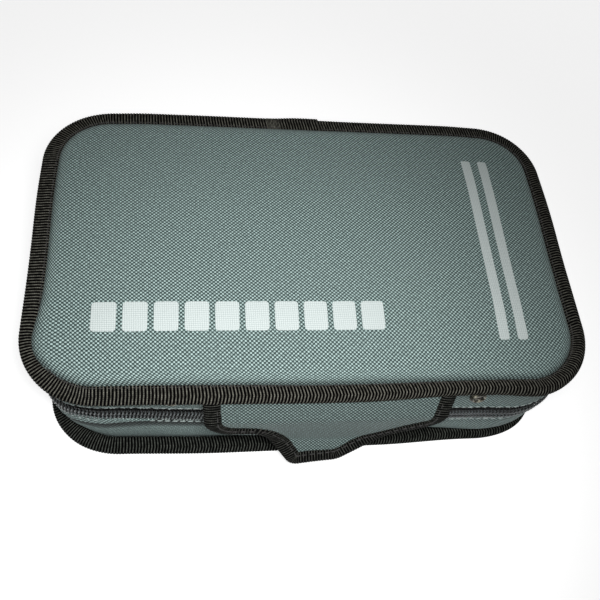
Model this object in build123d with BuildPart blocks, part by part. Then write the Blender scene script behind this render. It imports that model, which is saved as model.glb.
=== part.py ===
"""Soft zip-round case for two trays of seven mouth organs, with a padded closing flap.

Millimetres. +X runs along the front from left to right, -Y is the front, +Z is up.
The origin is the centre of the base panel's underside, on which the case rests.
"""

import math
import os
from collections import namedtuple

from build123d import *

os.makedirs("parts", exist_ok=True)

# Overall, measured over the edge bindings.
case_length = 240.0
base_depth = 149.0
lid_set_back = 5.0  # the lid is cut this much shallower, so the front wall leans back above the zip
case_height = 66.0
base_corner_radius = 34.0
lid_corner_radius = 29.0

# Cloth, foam and board of the padded walls and panels.
cloth = 1.0
lining = 0.6
panel_foam = 3.5
wall_foam = 2.4
panel_board = 1.2
fit = 0.2  # easy clearance between pieces that are pushed together

# The bound seam that joins a panel to its wall, and how far the panel's pad stands past it.
tape = 1.1  # binding tape
binding_width = 7.8
pad_rise = 1.4
pad_edge_radius = 2.2
binding_roundness = 0.45  # the radius of a binding's outer edges, as a share of its height

# The wall bulges outwards towards the zip. Distances are from the bindings' outer edge.
binding_gap = 0.5  # from a binding's inner edge to the wall, which leans over it
seam_inset = binding_width + binding_gap
zip_inset = 4.75

# Zip.
zip_window = 5.0  # half of the gap between the two cloth edges
zip_tape = 0.8
zip_tape_height = 8.0
zip_tape_gap = 0.6  # from the zip's centre line to a tape's edge
coil_height = 2.6
coil_gap = 0.65  # from the zip's centre line to a coil
coil_recess = 0.3  # of the coil's face behind the wall's widest line
zip_end_gap = 4.5  # along the back wall, from a corner's curve to the zip's end
zip_stop_length = 2.5

# Zip sliders, on the right-hand wall.
slider_length = 13.0
slider_height = 9.0
slider_plate = 1.1
slider_corner_radius = 2.2
slider_gap = 0.3  # running clearance round the coils and the tape
slider_blade = 0.7
slider_blade_length = 3.5
slider_lip = 0.8
slider_apart = 0.8  # between the two noses when the case is closed
bail_height = 5.2
bail_width = 1.8
bail_reach = 2.6
bail_bar = 0.9
pull_pin_radius = 0.55
pull_width = 6.4
pull_length = 23.0
pull_thickness = 1.2
pull_arm = 1.2
pull_window = 5.5
pull_hole_radius = 1.6

# Trays for the instruments, one in each half.
well_width = 27.2
well_length = 103.5
divider = 2.3
tray_rim = 4.0  # the least foam past the outer wells
divider_height = 14.0
tray_floor = 3.0
tray_margin = 12.4  # from the binding's outer edge to the tray
tray_below_zip = 0.8
strap_width = 20.0
strap = 0.8

# Press-stud sockets on the lid's front wall, either side of the flap.
front_centre_x = 4.0
stud_spacing = 134.0
stud_above_zip = 12.5
stud_radius = 3.8
stud_thickness = 1.3
stud_rim_radius = 0.5
stud_bore_radius = 2.1
stud_bore_depth = 0.9
stud_spring_wire = 0.35
stud_post_radius = 1.3
stud_washer = 0.8

# Closing flap: a stiff padded tongue sewn under the lid's front binding.
flap_half_width = 53.0
flap_shoulder_half_width = 51.0
flap_shoulder_drop = 22.9  # below the flap's root
flap_neck_half_width = 27.0
flap_neck_drop = 28.4
flap_tongue_half_width = 12.5
flap_tip_drop = 40.0
flap_shoulder_radius = 9.0
flap_neck_radius = 9.0
flap_tip_radius = 6.5
flap_cloth = 0.8
flap_core = 1.0
flap_tape = 0.7
flap_binding_width = 6.6
flap_root_inset = 1.0  # of the sewn root behind the lid binding's front edge
flap_root_drop = 3.0  # of the sewn root below the lid binding
flap_upper_run = 9.8
flap_upper_angle = 31  # degrees out from vertical
flap_middle_run = 18.0
flap_middle_angle = 6
flap_tongue_run = 20.0
flap_tongue_angle = 36
flap_bend_radius = 9.0
anchor_gap = 0.3
anchor_below_root = 2.0
hook_thickness = 1.0
hook_half_width = 9.0
hook_height = 6.5
loop_thickness = 1.0
loop_length = 36.0
loop_height = 14.0
loop_corner_radius = 2.0

# The end of each binding tape is lapped over its start, at the back.
lap_length = 26.0
lap_tape = 0.8
lap_centre_x = -4.0

Outline = namedtuple("Outline", "length depth radius centre_y")
Half = namedtuple("Half", "name edge underside up")

base_edge = Outline(case_length, base_depth, base_corner_radius, 0.0)
lid_edge = Outline(case_length, base_depth - lid_set_back, lid_corner_radius, lid_set_back / 2)
base = Half("base", base_edge, 0.0, 1)
lid = Half("lid", lid_edge, case_height, -1)

# Heights above a half's own outer face.
flange_low = pad_rise + tape
seam = flange_low + cloth
flange_high = seam + cloth
binding_height = 2 * (tape + cloth)
board_low = cloth + panel_foam
lining_low = board_low + panel_board
floor = lining_low + lining
half_height = case_height / 2
zip_z = half_height
stud_z = zip_z + stud_above_zip
zip_low = half_height - zip_tape_gap - zip_tape_height
tray_top = half_height - tray_below_zip
well_floor = floor + tray_floor


def inset(outline, distance):
    """The outline drawn in by a distance all round."""
    return Outline(
        outline.length - 2 * distance,
        outline.depth - 2 * distance,
        outline.radius - distance,
        outline.centre_y,
    )


def between(first, second, share):
    """The outline part of the way from one to another."""
    return Outline(*(a + (b - a) * share for a, b in zip(first, second)))


widest = inset(between(base_edge, lid_edge, 0.5), zip_inset)
zip_end_x = widest.length / 2 - widest.radius - zip_end_gap
hinge_y = widest.centre_y + widest.depth / 2
zip_front_y = widest.centre_y - widest.depth / 2
lid_front_y = lid_edge.centre_y - lid_edge.depth / 2
lid_lean = (lid_front_y + seam_inset - zip_front_y) / (half_height - seam)
zip_tape_inset = cloth + lid_lean * zip_tape_height + fit
room_for_wells = case_length - 2 * (tray_margin + tray_rim) + divider
well_count = int(room_for_wells // (well_width + divider))
tray_wells_length = well_count * (well_width + divider) - divider


def z_at(half, height):
    """The height above the ground of a place that lies this far above a half's outer face."""
    return half.underside + half.up * height


def plan(outline, z=0.0):
    """A rounded rectangle, lying level."""
    with BuildSketch(Plane.XY.offset(z)) as drawn:
        with Locations((0, outline.centre_y)):
            RectangleRounded(outline.length, outline.depth, outline.radius)
    return drawn.sketch


def slab(half, outline, low, high, mode=Mode.ADD):
    """A level slab between two heights above a half's outer face."""
    extrude(plan(outline, z_at(half, low)), amount=half.up * (high - low), mode=mode)


def wall_outline(half, height, depth_in):
    """The wall's outline at a height above the half's outer face, a distance in from its cloth."""
    share = (height - seam) / (half_height - seam)
    return inset(between(inset(half.edge, seam_inset), widest, share), depth_in)


def wall_ring(half, low, high, outer, inner):
    """A closed leaning wall, between two depths in from the face of the cloth."""
    for depth_in, mode in ((outer, Mode.ADD), (inner, Mode.SUBTRACT)):
        sections = [plan(wall_outline(half, h, depth_in), z_at(half, h)) for h in (low, high)]
        loft(sections, ruled=True, mode=mode)


def back_run(mode, half_width=zip_end_x):
    """The straight part of the back wall that the zip leaves as a cloth hinge."""
    with BuildSketch() as strip:
        with Locations((0, hinge_y)):
            Rectangle(2 * half_width, 2 * lid_corner_radius)
    extrude(strip.sketch, amount=case_height, mode=mode)


def front_plane(x, z):
    """A plane on the face of the front wall's cloth, facing outwards."""
    half = base if z < zip_z else lid
    height = half.up * (z - half.underside)
    face = wall_outline(half, height, 0)
    seam_line = wall_outline(half, seam, 0)
    face_y = face.centre_y - face.depth / 2
    seam_y = seam_line.centre_y - seam_line.depth / 2
    slope = (seam_y - zip_front_y) / (z_at(half, seam) - zip_z)
    return Plane(origin=(x, face_y, z), x_dir=(1, 0, 0), z_dir=(0, -1, slope))


stud_places = [front_plane(front_centre_x + side * stud_spacing / 2, stud_z) for side in (-1, 1)]


def stud_holes():
    """The holes that the stud posts pass through."""
    for place in stud_places:
        with BuildSketch(place) as hole:
            Circle(stud_post_radius)
        reach = 2 * (cloth + wall_foam + lining)
        extrude(hole.sketch, amount=reach, both=True, mode=Mode.SUBTRACT)


# ---------------------------------------------------------------- panels and walls


def panel_cover(half):
    """The outer cloth of a padded panel: a raised pad, with a flat edge in the seam."""
    with BuildPart() as cover:
        slab(half, inset(half.edge, seam_inset), 0, seam)
        outer_face = cover.faces().sort_by(Axis.Z)[0 if half.up > 0 else -1]
        fillet(outer_face.edges(), min(pad_edge_radius, 0.7 * seam))
        slab(half, inset(half.edge, tape), flange_low, seam)
        slab(half, inset(half.edge, seam_inset + cloth), cloth, seam, Mode.SUBTRACT)
    return cover


def panel_layer(half, distance, low, high):
    """One flat layer of a panel."""
    with BuildPart() as layer:
        slab(half, inset(half.edge, distance), low, high)
    return layer


def wall_cloth(half):
    """The outer cloth of the front, side and corner walls, with its edge turned out into the seam."""
    with BuildPart() as wall:
        wall_ring(half, seam, half_height - zip_window, 0, cloth)
        back_run(Mode.SUBTRACT)
        slab(half, inset(half.edge, tape), seam, flange_high)
        slab(half, inset(half.edge, seam_inset + cloth), seam, flange_high, Mode.SUBTRACT)
        if half is lid:
            stud_holes()
    return wall


def back_cloth(half):
    """The back wall's cloth, up to the hinge line."""
    with BuildPart() as wall:
        wall_ring(half, flange_high, half_height - fit, 0, cloth)
        back_run(Mode.INTERSECT)
    return wall


def wall_padding(half):
    """The foam inside the wall, up to the edge of the zip's tape."""
    with BuildPart() as pad:
        wall_ring(half, flange_high, zip_low - fit, cloth, cloth + wall_foam)
        if half is lid:
            stud_holes()
    return pad


def wall_lining(half):
    """The lining of the wall, which reaches a little way over the zip's tape."""
    outer = cloth + wall_foam
    with BuildPart() as skin:
        wall_ring(half, floor, zip_low + 2 * lining, outer, outer + lining)
        if half is lid:
            stud_holes()
    return skin


def binding(half):
    """The tape folded over the seam, all round the panel."""
    with BuildPart() as ring:
        slab(half, half.edge, pad_rise, pad_rise + binding_height)
        fillet(ring.edges().filter_by(Plane.XY), binding_roundness * binding_height)
        inner = inset(half.edge, binding_width)
        slab(half, inner, pad_rise, pad_rise + binding_height, Mode.SUBTRACT)
        slab(half, inset(half.edge, tape), flange_low, flange_high, Mode.SUBTRACT)
    return ring


def binding_lap(half):
    """The end of the binding tape, lapped over its start on the back edge."""
    edge_y = half.edge.centre_y + half.edge.depth / 2
    middle = z_at(half, pad_rise + binding_height / 2)
    outer_height = binding_height + 2 * lap_tape
    section = Plane(origin=(lap_centre_x, edge_y, middle), x_dir=(0, 1, 0), z_dir=(1, 0, 0))
    with BuildPart() as lap:
        for past, height, mode in (
            (lap_tape, outer_height, Mode.ADD),
            (0, binding_height, Mode.SUBTRACT),
        ):
            with BuildSketch(section) as profile:
                with Locations(((past - binding_width) / 2, 0)):
                    Rectangle(past + binding_width, height)
                outer_corners = profile.vertices().group_by(Axis.X)[-1]
                fillet(outer_corners, binding_roundness * binding_height + past)
            extrude(profile.sketch, amount=lap_length / 2, both=True, mode=mode)
    return lap


# ---------------------------------------------------------------- trays


def tray_pad(half):
    """The foam floor of a tray."""
    with BuildPart() as pad:
        slab(half, inset(half.edge, tray_margin), floor, well_floor)
    return pad


def tray_frame(half):
    """The tray's rim, in four rails: two along the instruments' ends and one past each outer well."""
    with BuildPart() as frame:
        slab(half, inset(half.edge, tray_margin), well_floor, tray_top)
        with BuildSketch(Plane.XY.offset(z_at(half, well_floor))) as wells:
            with Locations((0, half.edge.centre_y)):
                Rectangle(tray_wells_length, well_length)
        extrude(wells.sketch, amount=half.up * half_height, mode=Mode.SUBTRACT)
        for side in (-1, 1):
            cut = Plane.XZ.offset(-(half.edge.centre_y + side * well_length / 2))
            split(bisect_by=cut, keep=Keep.BOTH)
    return frame


def tray_dividers(half):
    """The low walls between wells, which leave an instrument standing proud enough to grip."""
    pitch = well_width + divider
    with BuildPart() as walls:
        with BuildSketch(Plane.XY.offset(z_at(half, well_floor))) as footprints:
            with Locations((0, half.edge.centre_y)):
                with GridLocations(pitch, 0, well_count - 1, 1):
                    Rectangle(divider, well_length)
        extrude(footprints.sketch, amount=half.up * divider_height)
    return walls


def lid_strap():
    """The elastic strap that keeps the upper tray's instruments in when the lid is open."""
    low = well_floor + divider_height
    with BuildPart() as band:
        with BuildSketch(Plane.XY.offset(z_at(lid, low))) as footprint:
            with Locations((0, lid.edge.centre_y)):
                Rectangle(tray_wells_length, strap_width)
        extrude(footprint.sketch, amount=lid.up * strap)
    return band


# ---------------------------------------------------------------- zip


def zip_band(outer, inner, low, high, end_x):
    """A level band that follows the zip's line, from one end on the back wall round to the other."""
    with BuildPart() as band:
        extrude(plan(inset(widest, outer), low), amount=high - low)
        extrude(plan(inset(widest, inner), low), amount=high - low, mode=Mode.SUBTRACT)
        back_run(Mode.SUBTRACT, end_x)
    return band


def zip_side(half):
    """The tape, the coil and the two end stops of one side of the zip."""
    far, edge = sorted(zip_z - half.up * h for h in (zip_tape_gap + zip_tape_height, zip_tape_gap))
    woven = zip_band(zip_tape_inset, zip_tape_inset + zip_tape, far, edge, zip_end_x)
    low, high = sorted(zip_z - half.up * h for h in (coil_gap + coil_height, coil_gap))
    coil = zip_band(coil_recess, zip_tape_inset, low, high, zip_end_x + zip_stop_length)
    with BuildPart() as stops:
        with BuildSketch(Plane.XY.offset(low)) as ends:
            with Locations((0, hinge_y - (coil_recess + zip_tape_inset) / 2)):
                with GridLocations(2 * zip_end_x + zip_stop_length, 0, 2, 1):
                    Rectangle(zip_stop_length, zip_tape_inset - coil_recess)
        extrude(ends.sketch, amount=coil_height)
    return woven, coil, stops


# The sliders run on the right-hand wall. Distances are out from the widest line.
wall_x = widest.length / 2
outer_plate_x = wall_x - coil_recess + slider_gap
inner_plate_x = wall_x - zip_tape_inset - zip_tape - slider_gap
pull_axis_x = outer_plate_x + slider_plate + (bail_reach - bail_bar) / 2
slider_centres = [
    widest.centre_y + side * (slider_length + slider_apart) / 2 for side in (-1, 1)
]


def slider(side):
    """A slider: two plates joined by the blade at its nose, a lip under the lower coil, and a bail."""
    centre_y = slider_centres[side > 0]
    nose_y = centre_y - side * (slider_length - slider_blade_length) / 2
    face = Plane.YZ.offset(outer_plate_x)
    with BuildPart() as body:
        with BuildSketch(face) as plate:
            with Locations((centre_y, zip_z)):
                RectangleRounded(slider_length, slider_height, slider_corner_radius)
        extrude(plate.sketch, amount=slider_plate)
        fillet(body.faces().sort_by(Axis.X)[-1].edges(), slider_plate / 2)
        extrude(plate.sketch.moved(Location((inner_plate_x - outer_plate_x, 0, 0))), amount=-slider_plate)
        with BuildSketch(face) as blade:
            with Locations((nose_y, zip_z)):
                SlotOverall(slider_blade_length, slider_blade)
        extrude(blade.sketch, amount=inner_plate_x - outer_plate_x)
        with BuildSketch(face) as lip:
            with Locations((centre_y, zip_z - (slider_height - slider_lip) / 2)):
                Rectangle(slider_length - 2 * slider_corner_radius, slider_lip)
        extrude(lip.sketch, amount=-(zip_tape_inset - coil_recess) / 2)
        with BuildSketch(Plane.YZ.offset(outer_plate_x + slider_plate)) as bail:
            with Locations((centre_y, zip_z)):
                Rectangle(bail_width, bail_height)
        extrude(bail.sketch, amount=bail_reach)
        fillet(body.faces().sort_by(Axis.X)[-1].edges().filter_by(Axis.Y), bail_bar)
        with BuildSketch(Plane.XZ.offset(-centre_y)) as eye:
            with Locations((pull_axis_x, zip_z)):
                Rectangle(bail_reach - bail_bar, bail_height - 2 * bail_bar)
        extrude(eye.sketch, amount=bail_width, both=True, mode=Mode.SUBTRACT)
    return body


def pull(side):
    """A pull tab that hangs from the bail: a pin through it, two arms and a plate with a hole."""
    centre_y = slider_centres[side > 0]
    hang = Plane.YZ.offset(pull_axis_x - pull_thickness / 2)
    with BuildPart() as tab:
        with BuildSketch(hang) as plate:
            with Locations((centre_y, zip_z + pull_pin_radius - pull_length / 2)):
                RectangleRounded(pull_width, pull_length, pull_pin_radius)
                with Locations((0, (pull_length - pull_window) / 2)):
                    Rectangle(pull_width - 2 * pull_arm, pull_window, mode=Mode.SUBTRACT)
                with Locations((0, pull_width / 2 - pull_length / 2)):
                    Circle(pull_hole_radius, mode=Mode.SUBTRACT)
        extrude(plate.sketch, amount=pull_thickness)
        with BuildSketch(Plane.XZ.offset(-centre_y)) as pin:
            with Locations((pull_axis_x, zip_z)):
                Circle(pull_pin_radius)
        extrude(pin.sketch, amount=pull_width / 2, both=True)
    return tab


# ---------------------------------------------------------------- press studs


def stud_sockets():
    """The two sockets, each a ring with a recess that a stud snaps into."""
    with BuildPart() as sockets:
        for place in stud_places:
            with BuildSketch(place) as disc:
                Circle(stud_radius)
            extrude(disc.sketch, amount=stud_thickness)
            with BuildSketch(place.offset(stud_thickness)) as recess:
                Circle(stud_bore_radius)
            extrude(recess.sketch, amount=-stud_bore_depth, mode=Mode.SUBTRACT)
        rims = sockets.edges().filter_by(GeomType.CIRCLE).group_by(Edge.length.fget)[-1]
        fillet(rims.sort_by(Axis.Y)[:2], stud_rim_radius)
    return sockets


def stud_springs():
    """The crossed spring wires in each recess."""
    with BuildPart() as springs:
        for place in stud_places:
            with BuildSketch(place.offset(stud_thickness - stud_bore_depth)) as cross:
                for turn in (45, 135):
                    Rectangle(2 * (stud_bore_radius - fit), stud_spring_wire, rotation=turn)
            extrude(cross.sketch, amount=stud_spring_wire)
    return springs


def stud_rivets():
    """The post of each stud, through the wall, with its washer inside the lid."""
    with BuildPart() as rivets:
        for place in stud_places:
            through_wall = (cloth + wall_foam + lining) * abs(place.z_dir.Y)
            with BuildSketch(place) as post:
                Circle(stud_post_radius)
            extrude(post.sketch, amount=-(through_wall + stud_washer))
            with BuildSketch(place.offset(-through_wall)) as washer:
                Circle(stud_radius)
            extrude(washer.sketch, amount=-stud_washer)
    return rivets


# ---------------------------------------------------------------- closing flap

flap_thickness = flap_core + 2 * flap_cloth
flap_root_y = lid_front_y + flap_root_inset
flap_root_z = case_height - pad_rise - binding_height - flap_root_drop
flap_tip_z = flap_root_z - flap_tip_drop


def flap_profile():
    """The flap's middle line seen from the side: out from under the binding, down, then out again."""
    runs = (
        (flap_upper_run, flap_upper_angle),
        (flap_middle_run, flap_middle_angle),
        (flap_tongue_run, flap_tongue_angle),
    )
    points = [(flap_root_y, flap_root_z)]
    for length, degrees in runs:
        y, z = points[-1]
        angle = math.radians(degrees)
        points.append((y - length * math.sin(angle), z - length * math.cos(angle)))
    return points


def flap_outline(distance=0.0):
    """The flap seen from the front, broad shoulders that narrow to a tongue, drawn in by a distance."""
    corners = [
        (flap_half_width, case_height, 0),
        (flap_half_width, flap_root_z, 0),
        (flap_shoulder_half_width, flap_root_z - flap_shoulder_drop, flap_shoulder_radius),
        (flap_neck_half_width, flap_root_z - flap_neck_drop, flap_neck_radius),
        (flap_tongue_half_width, flap_tip_z, flap_tip_radius),
    ]
    corners += [(-x, z, radius) for x, z, radius in reversed(corners)]
    with BuildSketch(Plane.XZ) as front:
        with BuildLine():
            points = [(front_centre_x + x, z) for x, z, radius in corners]
            FilletPolyline(*points, radius=[radius for x, z, radius in corners], close=True)
        make_face()
        if distance:
            offset(amount=-distance, kind=Kind.INTERSECTION, mode=Mode.REPLACE)
    return front.sketch


def flap_sheet(thickness):
    """The curved sheet that the flap is cut from, this thick about its middle line."""
    with BuildPart(mode=Mode.PRIVATE) as sheet:
        with BuildSketch(Plane.YZ.offset(front_centre_x)) as side:
            with BuildLine():
                FilletPolyline(*flap_profile(), radius=flap_bend_radius)
            trace(line_width=thickness)
        extrude(side.sketch, amount=2 * flap_half_width, both=True)
    return sheet.part


def cut_to(outline, mode=Mode.INTERSECT):
    """Cuts the piece in hand by an outline drawn in the front view."""
    extrude(outline, amount=2 * base_depth, both=True, mode=mode)


def flap_stiffener():
    """The stiff core."""
    sheet = flap_sheet(flap_core)
    with BuildPart() as core:
        add(sheet)
        cut_to(flap_outline(flap_tape))
    return core


def flap_face(side):
    """The cloth on one side of the core: -1 for the outer face, 1 for the inner."""
    whole = flap_sheet(flap_thickness)
    middle = flap_sheet(flap_core)
    with BuildPart() as both_faces:
        add(whole)
        add(middle, mode=Mode.SUBTRACT)
        cut_to(flap_outline(flap_tape))
    outer, inner = both_faces.solids().sort_by(Axis.Y)
    with BuildPart() as face:
        add(outer if side < 0 else inner)
    return face


def flap_binding():
    """The tape folded over the flap's free edge."""
    bound = flap_sheet(flap_thickness + 2 * flap_tape)
    sheet = flap_sheet(flap_thickness)
    with BuildPart() as inside:
        add(sheet)
        cut_to(flap_outline(flap_tape))
    with BuildPart() as ring:
        add(bound)
        cut_to(flap_outline())
        cut_to(flap_outline(flap_binding_width), Mode.SUBTRACT)
        add(inside.part, mode=Mode.SUBTRACT)
        split(bisect_by=Plane.XY.offset(flap_root_z - flap_root_drop), keep=Keep.BOTTOM)
    return ring


def hook_patch():
    """The hook half of the hook-and-loop closure, on the back of the tongue."""
    low = flap_tip_z + flap_binding_width + fit
    whole = flap_sheet(flap_thickness + 2 * hook_thickness)
    sheet = flap_sheet(flap_thickness)
    with BuildSketch(Plane.XZ) as front:
        with Locations((front_centre_x, low + hook_height / 2)):
            Rectangle(2 * hook_half_width, hook_height)
    with BuildPart() as both_sides:
        add(whole)
        add(sheet, mode=Mode.SUBTRACT)
        cut_to(front.sketch)
    with BuildPart() as patch:
        add(both_sides.solids().sort_by(Axis.Y)[-1])
    return patch


def loop_patch():
    """The loop half, sewn to the base's front wall where the tongue lands."""
    with BuildPart() as patch:
        with BuildSketch(front_plane(front_centre_x, flap_tip_z)) as face:
            RectangleRounded(loop_length, loop_height, loop_corner_radius)
        extrude(face.sketch, amount=loop_thickness)
    return patch


def flap_anchor():
    """The folded strip under the lid's front binding that the flap's root is sewn to."""
    top = case_height - pad_rise - binding_height
    low = flap_root_z - anchor_below_root
    outer_y = flap_root_y + flap_thickness / 2 + anchor_gap
    wall_points = [(front_plane(0, z).origin.Y, z) for z in (low, top)]
    side = Plane.YZ.offset(front_centre_x)
    with BuildPart() as strip:
        with BuildSketch(side) as section:
            with BuildLine():
                Polyline((outer_y, top), (outer_y, low), *wall_points, close=True)
            make_face()
        extrude(section.sketch, amount=flap_half_width, both=True)
    return strip


# ---------------------------------------------------------------- the whole case


def padded_half(half):
    """The pieces that the base and the lid have alike."""
    around_wall = seam_inset + cloth + wall_foam + fit
    woven, coil, stops = zip_side(half)
    place = "lower" if half is base else "upper"
    return {
        f"{half.name}_cover": panel_cover(half),
        f"{half.name}_foam": panel_layer(half, seam_inset + cloth, cloth, board_low),
        f"{half.name}_board": panel_layer(half, around_wall, board_low, lining_low),
        f"{half.name}_lining": panel_layer(half, around_wall, lining_low, floor),
        f"{half.name}_wall_cloth": wall_cloth(half),
        f"{half.name}_back_cloth": back_cloth(half),
        f"{half.name}_wall_foam": wall_padding(half),
        f"{half.name}_wall_lining": wall_lining(half),
        f"{half.name}_binding": binding(half),
        f"{half.name}_binding_lap": binding_lap(half),
        f"{half.name}_tray_pad": tray_pad(half),
        f"{half.name}_tray_frame": tray_frame(half),
        f"{half.name}_tray_dividers": tray_dividers(half),
        f"zip_tape_{place}": woven,
        f"zip_coil_{place}": coil,
        f"zip_stops_{place}": stops,
    }


pieces = {
    **padded_half(base),
    **padded_half(lid),
    "lid_strap": lid_strap(),
    "front_slider": slider(-1),
    "rear_slider": slider(1),
    "front_slider_pull": pull(-1),
    "rear_slider_pull": pull(1),
    "stud_sockets": stud_sockets(),
    "stud_springs": stud_springs(),
    "stud_rivets": stud_rivets(),
    "flap_outer_cloth": flap_face(-1),
    "flap_stiffener": flap_stiffener(),
    "flap_inner_cloth": flap_face(1),
    "flap_binding": flap_binding(),
    "flap_hook_patch": hook_patch(),
    "flap_anchor": flap_anchor(),
    "base_loop_patch": loop_patch(),
}
for name, piece in pieces.items():
    piece.part.label = name
    export_step(piece.part, f"parts/{name}.step")
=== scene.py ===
# %% [markdown]
# # A soft zip-round case, dressed in cloth, tape and thread
#
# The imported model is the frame: plain solids at their real size and in their real place.
# This lesson keeps every size and dresses the solids in what the real case is sewn from:
# coarse woven nylon over foam, ribbed binding tape, a nylon coil zip and a few metal parts.

# %% Load the frame
import math
from collections import namedtuple

import bmesh
import bpy
from mathutils import Matrix, Vector, noise


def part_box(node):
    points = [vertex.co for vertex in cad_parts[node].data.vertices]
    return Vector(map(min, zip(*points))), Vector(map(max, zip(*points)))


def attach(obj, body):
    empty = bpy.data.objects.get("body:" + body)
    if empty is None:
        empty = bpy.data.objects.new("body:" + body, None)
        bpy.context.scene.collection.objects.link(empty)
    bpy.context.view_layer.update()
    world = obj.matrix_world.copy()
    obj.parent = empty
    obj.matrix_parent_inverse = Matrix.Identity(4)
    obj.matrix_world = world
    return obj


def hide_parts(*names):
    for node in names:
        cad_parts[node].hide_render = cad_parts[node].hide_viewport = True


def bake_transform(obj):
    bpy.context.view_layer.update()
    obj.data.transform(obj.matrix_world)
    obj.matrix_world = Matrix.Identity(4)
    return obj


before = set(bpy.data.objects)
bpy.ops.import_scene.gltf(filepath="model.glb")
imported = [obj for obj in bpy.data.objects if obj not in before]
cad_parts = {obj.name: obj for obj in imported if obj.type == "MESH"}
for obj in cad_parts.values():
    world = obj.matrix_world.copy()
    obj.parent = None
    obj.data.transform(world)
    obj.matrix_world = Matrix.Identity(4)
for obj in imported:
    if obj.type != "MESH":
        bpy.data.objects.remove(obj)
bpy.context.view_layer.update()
MM = 0.001

# %% [markdown]
# ## Sizes
#
# A sewn case follows a few rounded rectangles: the two bound edges and, between them, the line
# where the wall is widest and the zip runs. Their lengths are read from the frame. Only what a
# box can't tell, such as a corner's radius, is written here.

# %% Read the outlines from the frame
Outline = namedtuple("Outline", "length depth radius centre_y")


def corners(node):
    """The low and the high corner of a node's box."""
    return [Vector(corner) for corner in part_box(node)]


def outline_of(node, radius):
    """The rounded rectangle that a level piece of the frame follows."""
    low, high = corners(node)
    return Outline(high.x - low.x, high.y - low.y, radius, (high.y + low.y) / 2)


def inset(outline, distance):
    """The outline drawn in by a distance all round."""
    return Outline(
        outline.length - 2 * distance,
        outline.depth - 2 * distance,
        outline.radius - distance,
        outline.centre_y,
    )


def between(first, second, share):
    """The outline part of the way from one to another."""
    return Outline(*(a + (b - a) * share for a, b in zip(first, second)))


lid_edge = outline_of("lid_binding", 29 * MM)
base_edge = outline_of("base_binding", 34 * MM)
coil_line = outline_of("zip_coil_lower", 26.45 * MM)
widest = inset(coil_line, -0.3 * MM)
zip_z = (corners("zip_coil_lower")[1].z + corners("zip_coil_upper")[0].z) / 2
case_height = 2 * zip_z
seam_inset = 8.3 * MM
seam_height = 3.5 * MM
zip_end_x = 84 * MM
print("The zip runs at", round(zip_z / MM, 1), "mm above the ground")

# %% [markdown]
# ## The camera
#
# The case is seen from above and in front, from about a third of a metre, a little left of its
# middle. The lens is long enough to keep the sides nearly parallel.

# %% Place the camera
camera_data = bpy.data.cameras.new("camera")
camera_data.sensor_width = 36
camera_data.lens = 38.6
camera = bpy.data.objects.new("camera", camera_data)
bpy.context.scene.collection.objects.link(camera)
camera.location = (-49.5 * MM, -150.3 * MM, 305.6 * MM)
camera.rotation_euler = (0.4775, -0.1356, -0.0717)
bpy.context.scene.camera = camera

# %% [markdown]
# ## Colours and nodes
#
# Colours are written as the hex values that a designer would pick on a screen, and turned to
# the linear light that the shader works in. One small function adds a node, sets it and links
# it. The others name what the finishes use most, so that each finish reads as a short list.

# %% Helpers for materials
def linear(hex_colour):
    """A screen colour such as 7a8a88 as linear light."""
    channels = [int(hex_colour[i:i + 2], 16) / 255 for i in (0, 2, 4)]
    light = [c / 12.92 if c <= 0.04045 else ((c + 0.055) / 1.055) ** 2.4 for c in channels]
    return (*light, 1)


def add_node(tree, kind, inputs=None, **settings):
    """Adds a node, with its settings, and its inputs as values or as the sockets that feed them."""
    node = tree.nodes.new(kind)
    for name, value in settings.items():
        setattr(node, name, value)
    for name, value in (inputs or {}).items():
        if isinstance(value, bpy.types.NodeSocket):
            tree.links.new(value, node.inputs[name])
        else:
            node.inputs[name].default_value = value
    return node


def start_material(name, **shader_inputs):
    """A new material with its shader's own sockets set, and its node tree."""
    material = bpy.data.materials.new(name)
    material.use_nodes = True
    for socket, value in shader_inputs.items():
        material.node_tree.nodes["Principled BSDF"].inputs[socket.replace("_", " ")].default_value = value
    return material, material.node_tree


def feed(tree, **results):
    """Links results to the shader's sockets of those names."""
    for socket, result in results.items():
        tree.links.new(result, tree.nodes["Principled BSDF"].inputs[socket.replace("_", " ")])


def math_node(tree, operation, *values):
    """The result of a Math node on numbers or sockets."""
    return add_node(tree, "ShaderNodeMath", dict(enumerate(values)), operation=operation).outputs[0]


def product(tree, result, *others):
    """Several numbers or sockets multiplied."""
    for other in others:
        result = math_node(tree, "MULTIPLY", result, other)
    return result


def sine(tree, place, rate):
    """The sine of a place times a rate."""
    return math_node(tree, "SINE", product(tree, place, rate))


def vector_node(tree, operation, *values):
    """The result of a Vector Math node on vectors or sockets."""
    return add_node(tree, "ShaderNodeVectorMath", dict(enumerate(values)), operation=operation).outputs[0]


def split(tree, vector):
    """A vector's three numbers."""
    return add_node(tree, "ShaderNodeSeparateXYZ", {0: vector}).outputs


def ramp(tree, value, low, high, to_low=0.0, to_high=1.0, kind="LINEAR"):
    """A value taken from one range to another and held inside it."""
    inputs = {"Value": value, "From Min": low, "From Max": high, "To Min": to_low, "To Max": to_high}
    return add_node(tree, "ShaderNodeMapRange", inputs, interpolation_type=kind).outputs[0]


def grain(tree, place, scale, detail, output="Fac"):
    """Even noise. The scale is how many grains go to a metre."""
    return add_node(tree, "ShaderNodeTexNoise", {"Vector": place, "Scale": scale, "Detail": detail}).outputs[output]


def layout(tree):
    """The place on the flat cloth."""
    return add_node(tree, "ShaderNodeUVMap", uv_map="cut").outputs[0]


def object_place(tree):
    """The place in the case."""
    return add_node(tree, "ShaderNodeTexCoord").outputs["Object"]


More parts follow.
